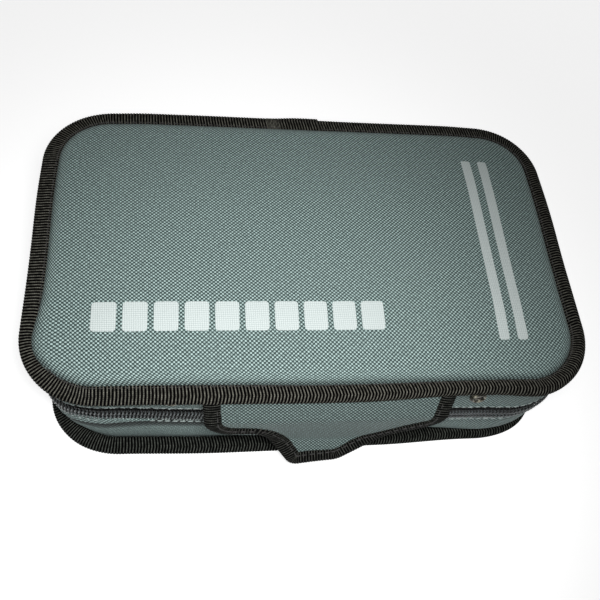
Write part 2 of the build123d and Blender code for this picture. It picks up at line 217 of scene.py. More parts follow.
def blend_colours(tree, factor, first, second):
    """The result of mixing two colours, given as hex values or sockets."""
    colours = [linear(c) if isinstance(c, str) else c for c in (first, second)]
    return add_node(tree, "ShaderNodeMix", {0: factor, 6: colours[0], 7: colours[1]}, data_type="RGBA").outputs[2]


def scaled(tree, colour, factor):
    """A colour times a factor."""
    return add_node(tree, "ShaderNodeVectorMath", {0: colour, "Scale": factor}, operation="SCALE").outputs[0]


def unshaded_share(tree, darkening):
    """1 where a piece has no painted shade. Its painted shade takes up to a darkening off it."""
    # Each piece's painted shade is read from a mesh attribute.
    painted_shade = add_node(tree, "ShaderNodeAttribute", attribute_name="painted_shade").outputs["Fac"]
    return math_node(tree, "MULTIPLY_ADD", painted_shade, -darkening, 1.0)


def raise_surface(tree, height, depth, strength=1.0):
    """Bumps the surface by a height from 0 to 1, times a depth in metres."""
    inputs = {"Height": height, "Distance": depth, "Strength": strength}
    feed(tree, Normal=add_node(tree, "ShaderNodeBump", inputs).outputs[0])


# %% [markdown]
# ## Coarse woven nylon
#
# The shell is a plain weave of thick nylon yarn, a little under a millimetre wide, coated inside.
# Each crossing shows the warp or the weft on top, in a checkerboard. The yarn on top is painted
# lighter, a painted highlight, and the grooves between the yarns darker, a painted shade, which
# gives such cloth its diagonal sparkle. The product of two sine waves is that checkerboard: its
# sign says which yarn is on top, and its size how high the yarn stands. The waves read the cloth's
# own flat layout, so the weave follows it. Painted shade also darkens creases, the cloth beside
# seams and other shaded places: a piece says where in an attribute of that name.

# %% Woven nylon
warp_pitch = 0.875 * MM  # from one yarn's middle to the next
weft_pitch = 0.785 * MM
warp_lean = 0.05  # the cloth was stretched a little out of square
weft_lean = 0.02


def yarn_waves(tree, warp_pitch, weft_pitch, wander):
    """The warp's and the weft's waves over the cloth's layout, and that layout."""
    flat = layout(tree)
    centred = vector_node(tree, "SUBTRACT", grain(tree, flat, 160.0, 1.0, "Color"), (0.5, 0.5, 0.5))
    x, y, _ = split(tree, vector_node(tree, "MULTIPLY_ADD", centred, (wander, wander, 0), flat))
    across = math_node(tree, "MULTIPLY_ADD", y, warp_lean, x)
    along = math_node(tree, "MULTIPLY_ADD", x, weft_lean, y)
    return (sine(tree, across, math.pi / warp_pitch), sine(tree, along, math.pi / weft_pitch)), flat


def woven_nylon(name):
    """Coarse plain-woven nylon with a painted highlight on the yarn on top and painted shade in the grooves, faded in
    patches to a third colour.
    """
    material, tree = start_material(
        name, Roughness=0.65, Specular_IOR_Level=0.15, Sheen_Weight=0.08, Sheen_Roughness=0.45)
    waves, flat = yarn_waves(tree, warp_pitch, weft_pitch, 0.2 * MM)
    crossing = product(tree, *waves)
    # The yarn on top takes the light colour: a painted highlight.
    painted_lit_yarn = ramp(tree, crossing, -0.35, 0.45, kind="SMOOTHSTEP")
    height = math_node(tree, "POWER", math_node(tree, "ABSOLUTE", crossing), 0.5)
    # Painted shade in the grooves between the yarns.
    painted_groove_shade = ramp(tree, height, 0.15, 0.6, 0.45)
    shade = ramp(tree, grain(tree, flat, 14.0, 3.0), 0.3, 0.7)
    speck = ramp(tree, grain(tree, flat, 900.0, 1.0), 0.35, 0.65, 0.8, 1.2)
    yarns = blend_colours(tree, painted_lit_yarn, "334745", "c0d9d5")
    faded = blend_colours(tree, product(tree, shade, 0.15), yarns, "8a9b9a")
    feed(tree, Base_Color=scaled(tree, faded, product(tree, painted_groove_shade, speck, unshaded_share(tree, 0.92))))
    raise_surface(tree, height, 0.2 * MM, 0.7)
    return material


grey_nylon = woven_nylon("woven_grey_nylon")
print("Made", grey_nylon.name)

# %% [markdown]
# ## Ribbed binding tape
#
# The edges are wrapped in grosgrain, a tape whose thick weft makes ribs straight across it.
# The ribs are modelled, because they show on the edge's outline. The finish only adds what is
# finer: the pairs of threads in each rib, dark valleys, and a painted highlight, a brownish grey
# glint along the crown of each rib.

# %% Grosgrain tape
rib_pitch = 1.36 * MM


def grosgrain(name, valley, crown):
    """Black ribbed tape. Its layout runs along the tape by one rib pitch a rib."""
    material, tree = start_material(name, Roughness=0.8, Specular_IOR_Level=0.02)
    flat = layout(tree)
    x, y, _ = split(tree, flat)
    rib = math_node(tree, "ABSOLUTE", sine(tree, x, math.pi / rib_pitch))
    fine = ramp(tree, sine(tree, y, math.tau / (0.75 * MM)), -1.0, 1.0, 0.55)
    worn = ramp(tree, grain(tree, flat, 500.0, 2.0), 0.35, 0.65, 0.35)
    # Painted highlight: the crown of each rib is lit to the crown colour, a glint, patchy at random.
    painted_glint = ramp(tree, rib, 0.78, 0.98, kind="SMOOTHSTEP")
    feed(tree, Base_Color=blend_colours(tree, product(tree, painted_glint, fine, worn), valley, crown))
    raise_surface(tree, product(tree, rib, fine), 0.15 * MM, 0.6)
    return material


# Three copies of one tape with a painted glint on the rib crowns. The base's copy and the flap's copy have a dimmer
# painted glint, as shaded copies.
black_tape = grosgrain("black_grosgrain_tape", "030303", "8d8c81")
lower_tape = grosgrain("less_worn_black_grosgrain_tape", "030404", "6c7069")
flap_tape = grosgrain("fine_black_grosgrain_tape", "040505", "62635d")
print("Made", black_tape.name, "and", flap_tape.name)

# %% [markdown]
# ## Smaller finishes
#
# The zip's tape is a fine black knit and its coil is smooth nylon wire. The studs are brass
# with an old bronze plating that has worn bright on the rims. The sliders are zinc with baked
# black enamel. The lining is too fine to show its weave, so it is drawn as a coarser crosshatch.

# %% Zip, foam and thread
def knitted_tape(name, dark, light):
    """Fine knitted zip tape, with ribs across it."""
    material, tree = start_material(name, Roughness=0.75, Sheen_Weight=0.15)
    waves, _ = yarn_waves(tree, 0.6 * MM, 0.55 * MM, 0.05 * MM)
    height = math_node(tree, "ABSOLUTE", product(tree, *waves))
    feed(tree, Base_Color=blend_colours(tree, height, dark, light))
    raise_surface(tree, height, 0.12 * MM)
    return material


def speckled(name, dark, light, size, depth, roughness, **shader_inputs):
    """An even grain of a size and a depth in millimetres, darkened where a piece paints shade."""
    material, tree = start_material(name, Roughness=roughness, **shader_inputs)
    place = object_place(tree)
    speck = grain(tree, place, 1 / (size * MM), 3.0)
    cloud = grain(tree, place, 0.08 / (size * MM), 2.0)
    spread = ramp(tree, product(tree, speck, math_node(tree, "ADD", cloud, 0.5)), 0.3, 0.7)
    feed(tree, Base_Color=scaled(tree, blend_colours(tree, spread, dark, light), unshaded_share(tree, 0.95)))
    raise_surface(tree, speck, depth * MM)
    return material


zip_tape_knit = knitted_tape("knitted_zip_tape", "0b0c0c", "232524")
# The coil's light colour shows only on its outward crowns, as a painted highlight.
coil_nylon = speckled("black_nylon_coil", "1c2223", "869496", 0.5, 0.03, 0.36)
flocked_foam = speckled("flocked_black_foam", "0f0f10", "242426", 0.35, 0.12, 0.95, Sheen_Weight=0.4)
foam_sheet = speckled("closed_cell_foam", "2a2b2d", "414346", 0.6, 0.08, 0.85)
stiff_board = speckled("grey_stiffener_board", "3a3936", "55534e", 1.5, 0.02, 0.7)
loop_pile = speckled("black_loop_pile", "0c0c0c", "2e2d2b", 0.5, 0.3, 0.9, Sheen_Weight=0.3)
black_thread = speckled("black_sewing_thread", "0d0d0d", "2a2826", 0.25, 0.05, 0.6)
grey_thread = speckled("grey_sewing_thread", "8b9a98", "cdd9d6", 0.25, 0.05, 0.6)
print("Made the soft finishes")

# %% Metals and lining
def worn_metal(name, plating, bare, roughness, metallic, wear_size=2.5 * MM):
    """Plated metal, rubbed through in small patches."""
    material, tree = start_material(name, Metallic=metallic, Roughness=roughness)
    rub = grain(tree, object_place(tree), 1 / wear_size, 4.0)
    feed(tree, Base_Color=blend_colours(tree, ramp(tree, rub, 0.45, 0.7), plating, bare),
         Roughness=ramp(tree, rub, 0.0, 1.0, roughness + 0.12, roughness - 0.1))
    raise_surface(tree, rub, 0.03 * MM, 0.5)
    return material


def smooth_lining(name, dark, light):
    """Thin lining cloth, read from the piece's place in the case."""
    material, tree = start_material(name, Roughness=0.55, Sheen_Weight=0.25)
    x, y, z = (sine(tree, axis, math.pi / (0.5 * MM)) for axis in split(tree, object_place(tree)))
    crossing = math_node(tree, "ADD", math_node(tree, "ADD", x, y), z)
    fine = ramp(tree, math_node(tree, "ABSOLUTE", crossing), 0.0, 3.0)
    feed(tree, Base_Color=blend_colours(tree, fine, dark, light))
    raise_surface(tree, fine, 0.06 * MM, 0.6)
    return material


antique_bronze = worn_metal("antique_bronze_plate", "24241e", "a8a594", 0.26, 1.0)
spring_wire = worn_metal("bright_spring_wire", "8d8a84", "c9c6bf", 0.28, 1.0)
black_enamel = worn_metal("black_enamelled_zinc", "141414", "2f2e2c", 0.3, 0.0, 4 * MM)
black_lining = smooth_lining("smooth_black_lining", "131315", "232326")
print("Made the metals and", black_lining.name)

# %% [markdown]
# ## From a flat grid to a sewn form
#
# Every cloth piece starts as a flat grid, as the real ones start as flat cloth. A place function
# says where each point of the grid ends up, and a flat function says where it was on the cloth,
# in metres. That second layout is the piece's UV map, so the weave stays square and even.
# A piece takes the finish that its slot names, unless it has one of its own.

# %% Helpers for meshes
finishes = {
    "grey_cloth": grey_nylon, "black_tape": black_tape, "black_lining": black_lining, "foam": foam_sheet,
    "tray_foam": flocked_foam, "board": stiff_board, "zip_nylon": coil_nylon, "elastic": zip_tape_knit,
    "pewter": antique_bronze, "spring_steel": spring_wire, "slider_metal": black_enamel,
    "hook_and_loop": loop_pile,
}


def grid_form(columns, rows, place, flat, closed=False, painted_shade=None, flip=False):
    """Bends a grid into a form. The functions take the shares along and across it, 0 to 1."""
    form = bmesh.new()
    cut = form.loops.layers.uv.new("cut")
    # This layer holds each point's painted shade, 0 to 1.
    shade_layer = form.verts.layers.float.new("painted_shade")
    bmesh.ops.create_grid(form, x_segments=columns, y_segments=rows, size=0.5)
    shares = {corner: (corner.co.x + 0.5, corner.co.y + 0.5) for corner in form.verts}
    for face in form.faces:
        for loop in face.loops:
            loop[cut].uv = flat(*shares[loop.vert])
    for corner, share in shares.items():
        corner.co = place(*share)
        if painted_shade:
            corner[shade_layer] = painted_shade(*share)
    if closed:
        bmesh.ops.remove_doubles(form, verts=form.verts, dist=0.002 * MM)
        bmesh.ops.recalc_face_normals(form, faces=form.faces)
    if flip:
        bmesh.ops.reverse_faces(form, faces=form.faces)
    return form


def turn_faces(form, outwards):
    """Turns an upright strip's faces away from the case's middle for 1, towards it for -1."""
    face = form.faces[0]
    if outwards * face.normal.dot(Vector((*face.calc_center_median().xy, 0))) < 0:
        bmesh.ops.reverse_faces(form, faces=form.faces)
    return form


def add_piece(name, form, body, slot, *replaces, material=None, thickness=None, sharp=None):
    """Turns a form into an object that rides on a body and stands for nodes of the frame."""
    mesh = bpy.data.meshes.new(name)
    form.to_mesh(mesh)
    form.free()
    mesh.materials.append(material or finishes[slot])
    mesh.shade_smooth()
    if sharp:
        mesh.set_sharp_from_angle(angle=math.radians(sharp))
    piece = bpy.data.objects.new(name, mesh)
    bpy.context.scene.collection.objects.link(piece)
    if thickness:  # behind the face
        solid = piece.modifiers.new("thickness", "SOLIDIFY")
        solid.thickness, solid.offset = thickness, -1
    if body:
        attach(piece, body)
    if replaces:
        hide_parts(*replaces)
    print(name, len(mesh.polygons), "faces")
    return piece


def wave(place, size, seed=0.0):
    """Smooth noise from -1 to 1 that changes over about a size in millimetres."""
    return noise.noise(Vector(place) / (size * MM) + Vector((seed, 7.3 * seed, 1.7)))


def smooth_step(value, low, high):
    """Rises smoothly from 0 at low to 1 at high."""
    share = min(max((value - low) / (high - low), 0), 1)
    return share * share * (3 - 2 * share)


def rise(distance, low, high):
    """The same, with its bounds in millimetres."""
    return smooth_step(distance, low * MM, high * MM)


def bell(distance, middle, reach):
    """A smooth hill of height 1 round a middle, both in millimetres."""
    return math.exp(-((distance - middle * MM) / (reach * MM)) ** 2)


def up_by(height):
    """A move straight up."""
    return Vector((0, 0, height))


# %% [markdown]
# ## Going round the case
#
# The bindings, walls and zip all run round a rounded rectangle. A station says how far round a
# point is: a run's number, from 0 to 8, plus the share along that run. It starts at the middle
# of the back and goes to the left. The same station on a larger or smaller outline lies straight
# out from it, so the columns of a wall stay upright.

# %% Points on an outline
LAST_RUN = 8


def run_lengths(outline):
    """The lengths of the nine runs: half the back, corner, side, corner, front and so on."""
    across = outline.length / 2 - outline.radius
    along = outline.depth - 2 * outline.radius
    corner = outline.radius * math.pi / 2
    return [across, corner, along, corner, 2 * across, corner, along, corner, across]


def station_at(outline, distance):
    """The station at a distance along the outline, which may go past its start or its end."""
    lengths = run_lengths(outline)
    distance %= sum(lengths)
    for run, length in enumerate(lengths):
        if distance <= length or run == LAST_RUN:
            return run + min(distance / length, 1)
        distance -= length


def ring_point(outline, station):
    """The point at a station and the direction outwards from it, both level."""
    run = min(int(station), LAST_RUN)
    share = station - run
    side, front = outline.length / 2, outline.depth / 2
    across, along = side - outline.radius, front - outline.radius
    if run % 2:
        x, y, start = {1: (-across, along, 90), 3: (-across, -along, 180),
                       5: (across, -along, 270), 7: (across, along, 0)}[run]
        angle = math.radians(start + 90 * share)
        outward = Vector((math.cos(angle), math.sin(angle), 0))
        point = Vector((x, y, 0)) + outline.radius * outward
    else:
        start, end, outward = {
            0: ((0, front, 0), (-across, front, 0), (0, 1, 0)),
            2: ((-side, along, 0), (-side, -along, 0), (-1, 0, 0)),
            4: ((-across, -front, 0), (across, -front, 0), (0, -1, 0)),
            6: ((side, -along, 0), (side, along, 0), (1, 0, 0)),
            8: ((across, front, 0), (0, front, 0), (0, 1, 0)),
        }[run]
        point = Vector(start).lerp(Vector(end), share)
        outward = Vector(outward)
    return point + Vector((0, outline.centre_y, 0)), outward


def beside(outline, along):
    """The point of an outline, and outwards, beside a distance along the widest line."""
    return ring_point(outline, station_at(widest, along))


def leftwards(outward):
    """The level direction along an outline."""
    return Vector((-outward.y, outward.x, 0))


round_length = sum(run_lengths(widest))
print("Once round the case's widest line is", round(round_length / MM), "mm")

# %% [markdown]
# ## A soft case settles
#
# Foam and cloth never stay as square as the drawing. The lid's front edge has drooped and bowed
# out a little, the wall's front corners have filled out, and its right half has slumped. One
# field says how far any point has moved, and every sewn piece is passed through it. So they
# move together, and no gap opens between them. Each row is a move and how much of it a point gets.

# %% How far a point has settled
def settled(point):
    """A point of the case as drawn, moved to where it lies in the used case."""
    x, y, z = point
    side = math.copysign(1, x)
    front, back = rise(-y, 25, 66), rise(y, 30, 70)
    at_side = rise(abs(x), 60, 112)
    middle = math.sin(math.pi * min(max(z / case_height, 0), 1))
    lid = smooth_step(z, zip_z + 6 * MM, case_height - 7 * MM)
    base = smooth_step(-z, 6 * MM - zip_z, -7 * MM)
    moves = (
        # The lid's bound edge.
        ((0, -1.4, -2.1), front * lid * rise(x, -122, -84) * (1 - rise(x, 88, 118))),
        ((0, -0.6, -0.4), front * lid * bell(x, 10, 45)),
        ((0.75 * side, -0.8, 0), (0.1 if x < 0 else 0.6) * front * at_side * lid),
        ((-0.36 * side, -1.08, 0), back * rise(abs(x), 72, 100) * lid),
        ((0, 0.5, 0), back * lid),
        ((0.6 * side, 0, 0), at_side * bell(y, 24, 24) * lid),
        # The base's bound edge.
        ((0, -1.7, 0), front * base * bell(x, -32, 62)),
        ((0, 1.3, 0), front * base * rise(x, 35, 80)),
        ((2.2, -1.0, 0), front * base * rise(x, 88, 110)),
        ((2.0, 0, 0), base * rise(-x, 88, 112) * bell(y, -28, 24)),
        ((-0.4, -0.2, 0), base * rise(-x, 80, 105) * rise(-y, 40, 62)),
        # The wall's front corners, its slump on the right and the dent beside its left corner.
        ((-2.4, -0.3, 0) if x < 0 else (4.0, -2.2, 0), rise(abs(x), 76, 110) * rise(-y, 28, 62) * middle ** 1.5),
        ((0, -1.95, -2.6), front * middle * rise(x, 5, 75) * (1 - 0.6 * rise(x, 82, 108))),
        ((0, 1.7, 0), front * middle * rise(-x, 45, 88) * (1 - rise(-x, 94, 108))),
    )
    return Vector(point) + sum((Vector(move) * (share * MM) for move, share in moves), Vector())


# %% [markdown]
# ## The padded panels
#
# The top and the bottom are foam with the woven cloth stretched over it, sewn down all round.
# Foam that is held at its edge rolls over in a few millimetres and then is nearly flat. A grid
# is pressed into the panel's rounded corners, and each point's distance from the edge gives its
# height. The sewing pulls small tucks, and the foam is never quite even.

# %% Pad shapes
pad_tuck = 7.0 * MM  # the pad's edge, inside the binding's outer edge
pad_roll = 6.5 * MM
tuck_pitch = 6.2 * MM


def into_corners(outline, u, v):
    """A point of a square grid pressed into a rounded rectangle."""
    x, y = (u - 0.5) * outline.length, (v - 0.5) * outline.depth
    over = [max(abs(x) - outline.length / 2 + outline.radius, 0) / outline.radius,
            max(abs(y) - outline.depth / 2 + outline.radius, 0) / outline.radius]
    if min(over) > 0:
        x, y = (math.copysign(size / 2 - outline.radius * (1 - mine * math.sqrt(1 - other ** 2 / 2)), value)
                for value, size, mine, other in (
                    (x, outline.length, over[0], over[1]), (y, outline.depth, over[1], over[0])))
    return Vector((x, y + outline.centre_y, 0))


def edge_distance(outline, point):
    """How far a point lies inside the outline."""
    x = abs(point.x) - outline.length / 2 + outline.radius
    y = abs(point.y - outline.centre_y) - outline.depth / 2 + outline.radius
    return outline.radius - math.hypot(max(x, 0), max(y, 0)) - min(max(x, y), 0)


def corner_pinch(point):
    """How much narrower the lid's binding is at the left front corner, where it is pulled tight."""
    return 2.6 * MM * rise(-point.x, 98, 112) * bell(point.y, -46, 16)


def pad_height(outline, point, inside, swell, dome):
    """The height of a pad over its own sewn edge, at a distance inside it."""
    share = min(max(inside / pad_roll, 0), 1)
    roll = math.sqrt(max(1 - (1 - share) ** 2, 0))
    around = math.atan2(point.y, point.x) * outline.length / 2
    tucks = math.sin(math.tau * around / tuck_pitch + 2 * wave(point, 20)) * math.exp(-inside / (3 * MM))
    uneven = 0.35 * MM * wave(point, 45, 3) * rise(inside, 2, 25)
    return swell * roll + dome * rise(inside, 0, 50) + uneven + 0.12 * MM * tucks * share


def pad_form(edge, seam_z, up, swell, dome, floor=None, tuck=pad_tuck, cells=(200, 130)):
    """A padded panel inside a bound edge. up is 1 for the top and -1 for the bottom."""
    outline = inset(edge, tuck)

    def inner_point(u, v):
        point = into_corners(outline, u, v)
        return point, edge_distance(outline, point)

    def place(u, v):
        point, inside = inner_point(u, v)
        height = pad_height(outline, point, inside, swell, dome)
        if floor is not None:
            height = min(height, floor)
        if up > 0:
            point += Vector((-0.95, -0.3, 0)) * corner_pinch(point) * (1 - rise(inside, 0, 14))
        return settled(point + up_by(seam_z + up * height))

    def flat(u, v):
        point, inside = inner_point(u, v)
        drawn = max(pad_roll - inside, 0) ** 2 / pad_roll * 0.55
        scale = 1 + drawn / max(point.length, MM)
        return (point.x * scale, point.y * scale)

    # Painted shade along the pad's sewn edge, where it rolls down beside the binding.
    def painted_shade(u, v):
        return 0.75 * math.exp(-(inner_point(u, v)[1] / (1.9 * MM)) ** 2)

    return grid_form(*cells, place, flat, painted_shade=painted_shade)


# %% [markdown]
# The print is screen ink in the cloth, so it is part of this cloth's finish: matt white, and
# only on the crowns of the weave. It is kept to plain shapes: a row of ten rounded squares, like
# the holes of a mouth organ, and two stripes. Each is a distance to a rounded box, which keeps
# its edge sharp at any size.

# %% Printed cloth
def rounded_box(tree, point, centre, half, radius):
    """How far a point is outside a rounded box, in metres. It is below 0 inside."""
    size = vector_node(tree, "ABSOLUTE", vector_node(tree, "SUBTRACT", point, (*centre, 0)))
    past = vector_node(tree, "SUBTRACT", size, (*(h - radius for h in half), 0))
    outside = vector_node(tree, "MULTIPLY", vector_node(tree, "MAXIMUM", past, (0, 0, 0)), (1, 1, 0))
    away = add_node(tree, "ShaderNodeVectorMath", {0: outside}, operation="LENGTH").outputs["Value"]
    return math_node(tree, "SUBTRACT", away, radius)


def print_on(material, ink, thin):
    """Prints the row of squares and the stripes on a woven cloth."""
    tree = material.node_tree
    flat = layout(tree)
    row_start, row_y, hole_pitch = -94.0 * MM, -35.0 * MM, 12.3 * MM
    x, y, _ = split(tree, flat)
    folded = math_node(tree, "FLOORED_MODULO", math_node(tree, "SUBTRACT", x, row_start), hole_pitch)
    cell = add_node(tree, "ShaderNodeCombineXYZ", {0: folded, 1: y}).outputs[0]
    hole = rounded_box(tree, cell, (hole_pitch / 2, row_y), (4.9 * MM, 6.1 * MM), 1.4 * MM)
    row = rounded_box(tree, flat, (row_start + 5 * hole_pitch, row_y), (5 * hole_pitch, 8 * MM), 0.5 * MM)
    stripes = [rounded_box(tree, flat, (x, 1.5 * MM), (2.3 * MM, 47.5 * MM), 1.2 * MM)
               for x in (80.4 * MM, 88.8 * MM)]
    nearest = math_node(tree, "MINIMUM", math_node(tree, "MAXIMUM", hole, row),
                        math_node(tree, "MINIMUM", *stripes))
    ragged = math_node(tree, "MULTIPLY_ADD", grain(tree, flat, 1500.0, 1.0), 0.35 * MM, nearest)
    mask = ramp(tree, ragged, 0.28 * MM, 0.08 * MM)
    cloth_colour = tree.nodes["Principled BSDF"].inputs["Base Color"].links[0].from_socket
    waves, _ = yarn_waves(tree, warp_pitch, weft_pitch, 0.2 * MM)
    crown = math_node(tree, "ABSOLUTE", product(tree, *waves))
    ink_colour = blend_colours(tree, ramp(tree, crown, 0.0, 0.3), thin, ink)
    feed(tree, Base_Color=blend_colours(tree, mask, cloth_colour, ink_colour))


printed_nylon = woven_nylon("printed_woven_nylon")
print_on(printed_nylon, "e6f0ee", "c3d1cf")

# %% Top and bottom panels
lid_pad = add_piece(
    "lid_pad", pad_form(lid_edge, case_height - 3.1 * MM, 1, 3.2 * MM, 1.3 * MM),
    "lid", "grey_cloth", "lid_cover", material=printed_nylon)
base_pad = add_piece(
    "base_pad", pad_form(base_edge, 3.1 * MM, -1, 3.1 * MM, 0.5 * MM, floor=3.1 * MM),
    "base", "grey_cloth", "base_cover")
lid_foam = pad_form(lid_edge, case_height - 4.3 * MM, 1, 3.2 * MM, 1.3 * MM, tuck=8.6 * MM, cells=(90, 60))
add_piece("lid_foam_sheet", lid_foam, "lid", "foam", "lid_foam", thickness=2.2 * MM)

# %% [markdown]
# ## The bound edges
#
# Where a panel meets its wall, both raw edges are wrapped in one ribbed tape. In section the
# wrapped edge is a flattened round. That section is a ring of points, carried round the outline
# by a grid with four columns to a rib, so the ribs stand up from the edge. Pulled round the
# edge by the sewing, each rib leans and doubles back a little, so it reads as a soft chevron.

# %% The binding's section
binding_width = 7.8 * MM
binding_height = 4.2 * MM
rib_height = 0.3 * MM
columns_per_rib = 4
section_points = 20


def section(angle, half_width, half_height, power=2.5):
    """A point of a flattened round, as how far out it is and how far up."""
    x, y = math.cos(angle), math.sin(angle)
    size = (abs(x) ** power + abs(y) ** power) ** (-1 / power)
    return x * size * half_width, y * size * half_height


def ribbed(ribs):
    """How far the tape's face stands up after a number of ribs: rounded ribs, sharp valleys."""
    return math.sqrt(abs(math.sin(math.pi * ribs)))


def bound_edge(edge, centre_z, start, end, raise_by=0.0, seed=0):
    """A length of ribbed tape wrapped round an edge. start and end are distances leftwards."""
    ribs = round((end - start) / rib_pitch)

    def place(u, v):
        along = start + u * (end - start)
        angle = math.tau * v
        point, outward = ring_point(edge, station_at(edge, along))
        lift = rib_height * (ribbed(u * ribs) - 0.6)
        lift += raise_by * rise(along - start, 0, 0.8) * rise(end - along, 0, 16)
        tight = pinch = 0.0
        if centre_z > zip_z:
            front = rise(-point.y, 30, 55)
            tight = 1.6 * MM * front * rise(point.x, 15, 62) * (1 - 0.8 * rise(point.x, 72, 96))
            pinch = front * MM * (0.5 * bell(point.x, 15, 35) - 0.9 * bell(point.x, -78, 22)) + corner_pinch(point)
        width = binding_width - tight - pinch
        out, up = section(angle, width / 2 + lift, binding_height / 2 + lift)
        pull = 0.3 + 0.8 * rise(point.x, -85, 10) + 0.4 * wave(point, 35, seed + 5)
        bend = abs((2 * angle - 2.6) % math.tau - math.pi) / math.pi
        lean = 1.7 * MM * (bend - 0.5) * pull
        wander = 0.15 * MM * wave(point, 28, seed) - 0.2 * MM
        heave = 0.35 * MM * wave(point, 40, seed + 2)
        middle = point - outward * (tight + width / 2 - wander) + up_by(centre_z + heave)
        return settled(middle + outward * out + leftwards(outward) * lean + up_by(up))

    def flat(u, v):
        return (u * ribs * rib_pitch, v * 2.1 * (binding_width + binding_height))

    return grid_form(ribs * columns_per_rib, section_points, place, flat, closed=True)


# %% Bind both panels
Half = namedtuple("Half", "name edge outer_z up seed")
halves = (Half("base", base_edge, 0, 1, 11), Half("lid", lid_edge, case_height, -1, 12))
binding_centre = 3.5 * MM  # of a binding, in from its panel's outer face
# The base's binding takes the copy with the dimmer painted glint.
for half, tape in zip(halves, (lower_tape, black_tape)):
    low, high = corners(f"{half.name}_binding_lap")
    for name, node, start, end, proud in (
            ("bound_edge", "binding", 0, sum(run_lengths(half.edge)), 0.0),
            ("tape_lap", "binding_lap", -high.x, -low.x, 0.7 * MM)):
        form = bound_edge(half.edge, half.outer_z + half.up * binding_centre, start, end, proud, half.seed)
        add_piece(f"{half.name}_{name}", form, half.name, "black_tape", f"{half.name}_{node}", material=tape)

# %% [markdown]
# ## The walls
#
# A strip of the same cloth stands round each half. It is sewn into the bound edge and its other
# edge is folded under beside the zip, over thin foam. So it swells a little in between, and the
# fold catches the light. Where it goes round a corner, the cloth has too much length at its
# bound edge and makes shallow upright folds. At the front, the lower wall's hem hangs over a
# crease, and its foot sags over the bound edge.

# %% Wall cloth
window = 5.9 * MM  # from the zip's middle to each folded edge
fold_radius = 0.55 * MM
stud_places = ((-61.5 * MM, 49 * MM), (71.5 * MM, 49.7 * MM))  # across, and up before the case settles
edge_share = 1 - (window + fold_radius) / (zip_z - seam_height)  # of the way up, at a wall's fold


def wall_line(half, share):
    """The outline and the height of a wall at a share of the way from its seam to the zip."""
    seam_z = half.outer_z + half.up * seam_height
    return between(inset(half.edge, seam_inset), widest, share), seam_z + (zip_z - seam_z) * share


def wall_share(half, z):
    """The share of the way from a wall's seam to the zip at a height."""
    return min(abs(z - half.outer_z - half.up * seam_height) / (zip_z - seam_height), 1)


def off_studs(point, z):
    """0 at a press stud, which holds the wall's layers together, rising to 1 away from it."""
    if z < zip_z or point.y > 0:
        return 1.0
    return rise(min(math.hypot(point.x - x, z - stud_z) for x, stud_z in stud_places), 3.5, 11)


def above_crease(point, z):
    """How far a point of the lower wall is above the line where its hem overhangs."""
    left = rise(-point.x, 62, 100) + rise(-point.x, 100, 114)
    return z - (26.4 - 4.4 * left) * MM - 0.4 * MM * wave(point, 25, 61)


def crease_strength(point, z):
    """How strong the lower wall's crease is: full at the front's left, weak at its right."""
    return 0.0 if z > zip_z else rise(-point.y, 10, 40) * (1 - 0.7 * rise(point.x, 40, 70))


def hem_crease(point, z):
    """The depth of the crease below the lower wall's hem, and the hem's own overhang above it."""
    above = above_crease(point, z)
    depth = 1.2 * MM * bell(above, 0, 0.45 if above > 0 else 3.0)
    overhang = 0.8 * MM * bell(above, 0, 3.5) if above > 0.3 * MM else 0.0
    return (depth - overhang) * crease_strength(point, z)


def sag_over_edge(point, z):
    """How far the lower wall bags out over its own bound edge, at the ends of the front."""
    if z > zip_z or point.y > 0:
        return 0.0
    ends = rise(point.x, 45, 88) * rise(-point.y, 20, 60) + 0.8 * rise(-point.x, 98, 112) * bell(point.y, -42, 22)
    return 3.3 * MM * ends * rise(z, 5.2, 7.6) * (1 - rise(z, 10, 26))


def wall_face(half, along, up_share, turn=0.0, proud=0.0):
    """A point of a wall's outer face, or of its folded edge, or of what lies proud of it."""
    outline, z = wall_line(half, up_share * edge_share)
    point, outward = beside(outline, along)
    hill = math.sin(math.pi * up_share)
    folds = wave(point + up_by(z * 0.35), 14, half.seed) * 0.5 * MM
    creases = wave(point + up_by(z * 1.6), 30, half.seed + 1) * 0.6 * MM
    out = 0.75 * MM * hill ** 0.8 + (folds * (1 - 0.5 * up_share) + creases) * hill
    out = out * off_studs(point, z) + sag_over_edge(point, z) - hem_crease(point, z) + proud
    out -= fold_radius * (1 - math.cos(turn))
    return settled(point + outward * out + up_by(z + half.up * fold_radius * math.sin(turn)))


def wall_cloth(half, start, end):
    """The cloth of a wall between two distances along its widest line."""
    def place(u, v):
        return wall_face(half, start + u * (end - start), min(v / 0.9, 1), math.pi * max(v - 0.9, 0) / 0.1)

    def flat(u, v):
        return (half.up * (start + u * (end - start)), v * 26.5 * MM)

    # Painted shade: a little over the whole wall, a dark line just below the hem's overhang at the front, and a band
    # beside the bound edge.
    def painted_shade(u, v):
        outline, z = wall_line(half, min(v / 0.9, 1) * edge_share)
        point, _ = beside(outline, start + u * (end - start))
        above = above_crease(point, z)
        line = math.exp(-(above / ((0.4 if above > 0 else 6.2) * MM)) ** 6) * crease_strength(point, z)
        return max(0.15, line, 0.8 * math.exp(-(abs(z - half.outer_z) / (5.6 * MM)) ** 6))

    return grid_form(round((end - start) / (1.4 * MM)), 60, place, flat, painted_shade=painted_shade, flip=half.up < 0)


def wall_padding(half):
    """The sheet of foam behind a wall's cloth, all the way round."""
    foot, top = (corner.z for corner in corners(f"{half.name}_wall_foam"))
    if half.up < 0:
        foot, top = top, foot

    def place(u, v):
        z = foot + (top - foot) * v
        point, outward = beside(wall_line(half, wall_share(half, z))[0], u * round_length)
        return settled(point - outward * 1.9 * MM + up_by(z))

    return turn_faces(grid_form(240, 12, place, lambda u, v: (u * round_length, v * 21 * MM), closed=True), 1)


